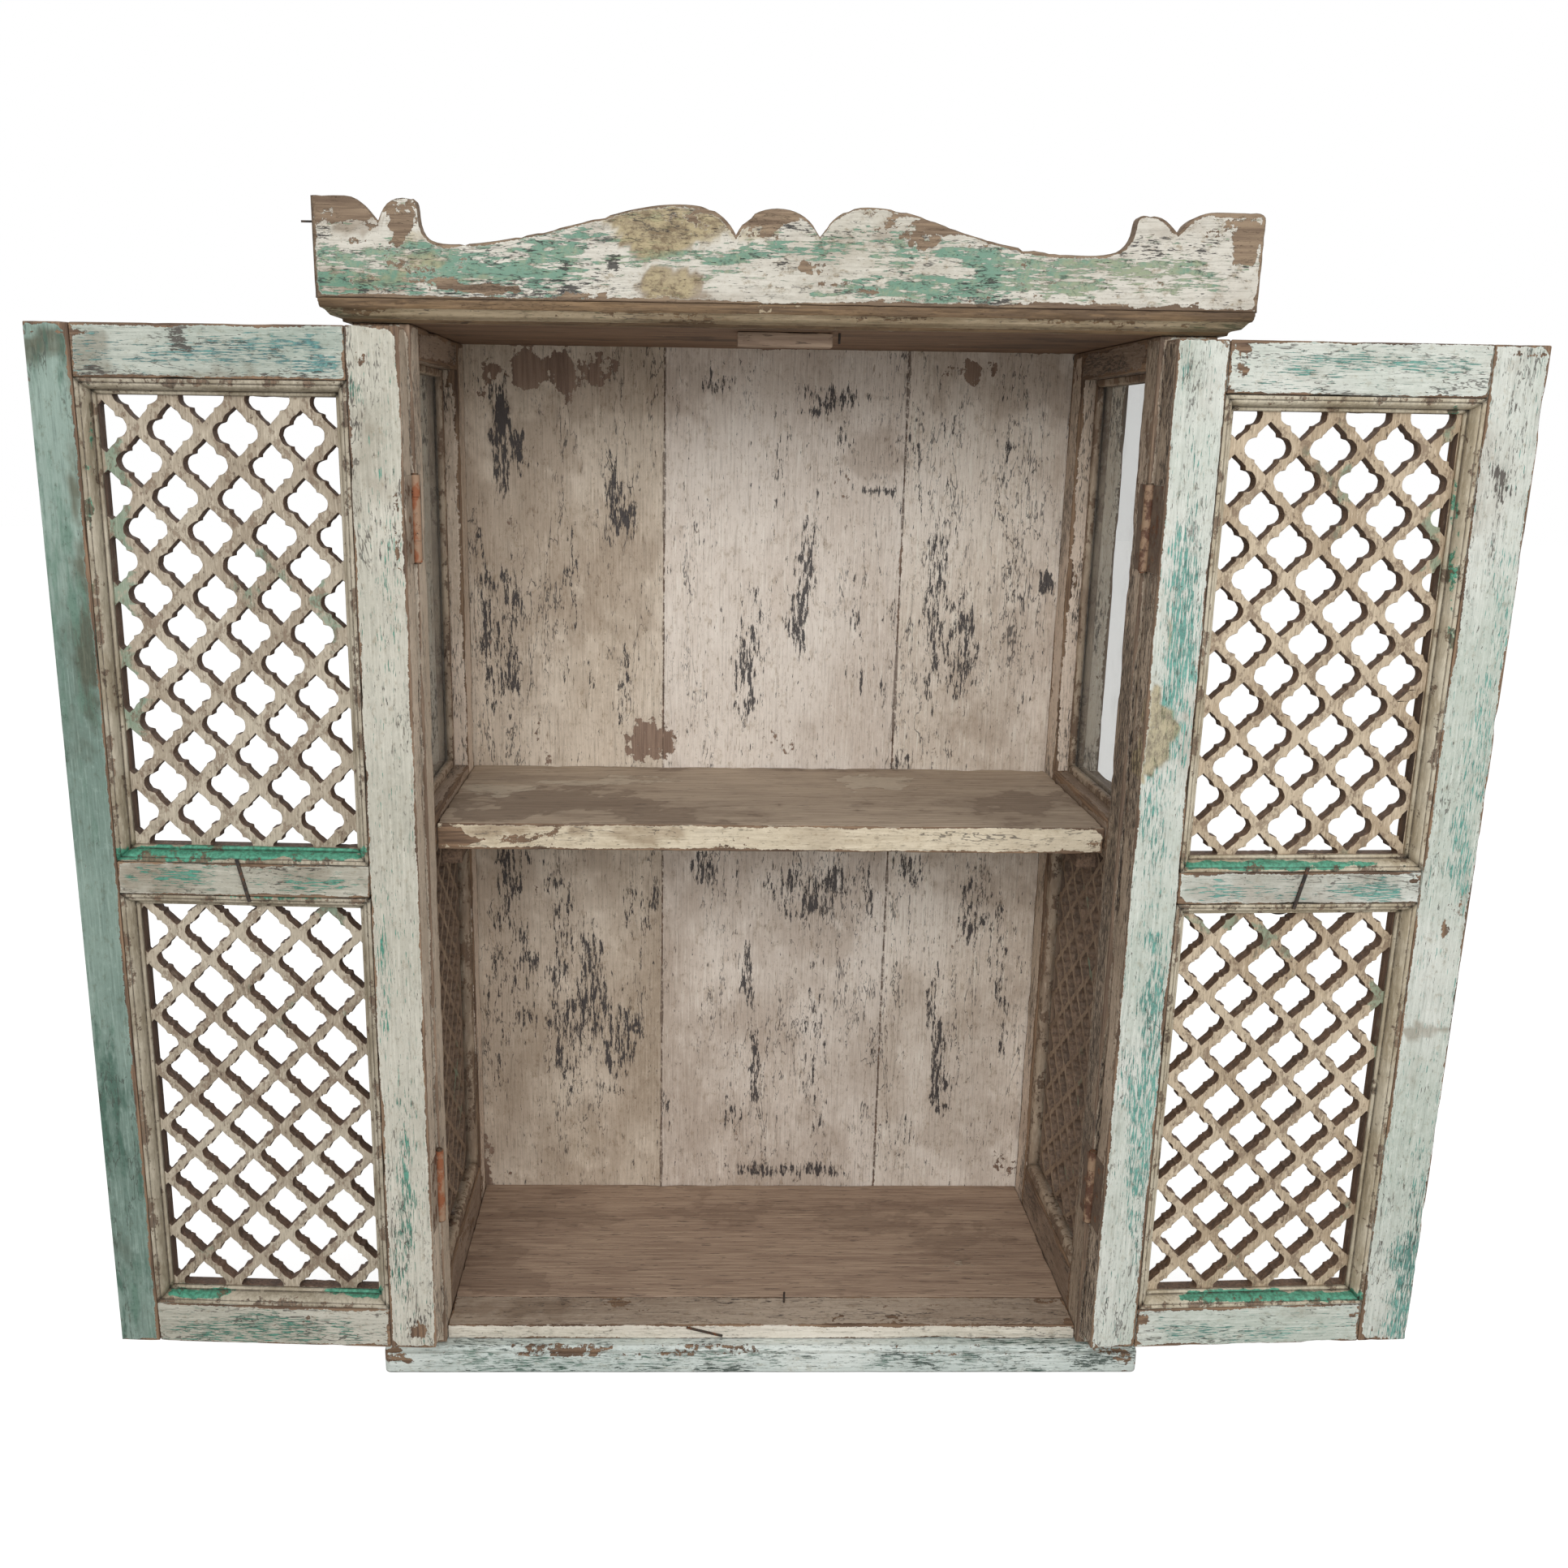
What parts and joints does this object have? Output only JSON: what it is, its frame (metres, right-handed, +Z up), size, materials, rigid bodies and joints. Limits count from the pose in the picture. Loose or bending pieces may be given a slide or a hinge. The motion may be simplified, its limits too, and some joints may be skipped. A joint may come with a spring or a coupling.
{
  "type": "wall display cabinet",
  "caption": "Wall cabinet with pierced lattice doors on butt hinges, glazed sides, a shelf, a moulded plinth and cornice, and a scalloped crest.",
  "frame": {"origin": "underside of the plinth, halfway between the sides, in the plane of the front faces of the front posts", "axes": "+X to the right across the front, +Y from the front back to the wall, +Z up"},
  "size_m": [1.287, 0.3255, 1.111],
  "materials": {
    "cream_paint": "worn cream paint over green, brushed by hand",
    "green_paint": "worn grey-green paint",
    "tan_paint": "thin worn tan paint, bare wood in the hollows",
    "board_paint": "worn beige paint with dark streaks",
    "bare_wood": "dull brown wood, stained",
    "iron": "dark iron, painted over in places",
    "rusty_iron": "orange rust",
    "glass": "clear, slightly dusty"
  },
  "bodies": {
    "carcass": {"plinth_front": "cream_paint", "plinth_frame": "bare_wood", "front_rail": "cream_paint", "floor_board": "bare_wood", "front_post_left": "cream_paint", "front_post_right": "cream_paint", "rear_post_left": "bare_wood", "rear_post_right": "bare_wood", "side_rails_left": "bare_wood", "side_rails_right": "bare_wood", "glass_left": "glass", "glass_right": "glass", "glazing_beads_left": "bare_wood", "glazing_beads_right": "bare_wood", "side_lattice_left": "tan_paint", "side_lattice_right": "tan_paint", "side_mouldings_left": "bare_wood", "side_mouldings_right": "bare_wood", "shelf": "tan_paint", "shelf_cleats": "bare_wood", "back_board_left": "board_paint", "back_board_middle": "board_paint", "back_board_right": "board_paint", "top_board": "bare_wood", "hanging_rail": "bare_wood", "cornice_front": "tan_paint", "cornice_returns": "tan_paint", "crest_board": "cream_paint", "crest_blocks": "bare_wood", "door_stop": "bare_wood", "old_nails": "iron", "crest_wire": "iron", "hinge_frame_leaves_left": "iron", "hinge_frame_leaves_right": "iron", "hinge_pins": "iron", "frame_screws": "iron"},
    "left_door": {"left_hinge_stile": "cream_paint", "left_free_stile": "green_paint", "left_top_rail": "cream_paint", "left_mid_rail": "cream_paint", "left_bottom_rail": "cream_paint", "left_lattices": "tan_paint", "left_mouldings": "tan_paint", "left_pull_plate": "iron", "hinge_door_leaves_left": "rusty_iron", "door_screws_left": "iron"},
    "left_ring": {"left_ring": "iron"},
    "right_door": {"right_hinge_stile": "cream_paint", "right_free_stile": "cream_paint", "right_top_rail": "cream_paint", "right_mid_rail": "cream_paint", "right_bottom_rail": "cream_paint", "right_lattices": "tan_paint", "right_mouldings": "tan_paint", "right_pull_plate": "iron", "hinge_door_leaves_right": "rusty_iron", "door_screws_right": "iron"},
    "right_ring": {"right_ring": "iron"}
  },
  "joints": [
    {"name": "left_door_hinge", "type": "hinge", "parent": "carcass", "child": "left_door", "pos_m": [-0.32, -0.0048, 0.528], "axis": [0, 0, 1], "range_deg": [0, 182.5]},
    {"name": "right_door_hinge", "type": "hinge", "parent": "carcass", "child": "right_door", "pos_m": [0.32, -0.0048, 0.528], "axis": [0, 0, -1], "range_deg": [0, 182.5]},
    {"name": "left_ring_hinge", "type": "hinge", "parent": "left_door", "child": "left_ring", "pos_m": [-0.48085, 0.00443, 0.527], "axis": [0.999, -0.0436, 0], "range_deg": [0, 85]},
    {"name": "right_ring_hinge", "type": "hinge", "parent": "right_door", "child": "right_ring", "pos_m": [0.48085, 0.00443, 0.527], "axis": [0.999, 0.0436, 0], "range_deg": [0, 85]}
  ]
}
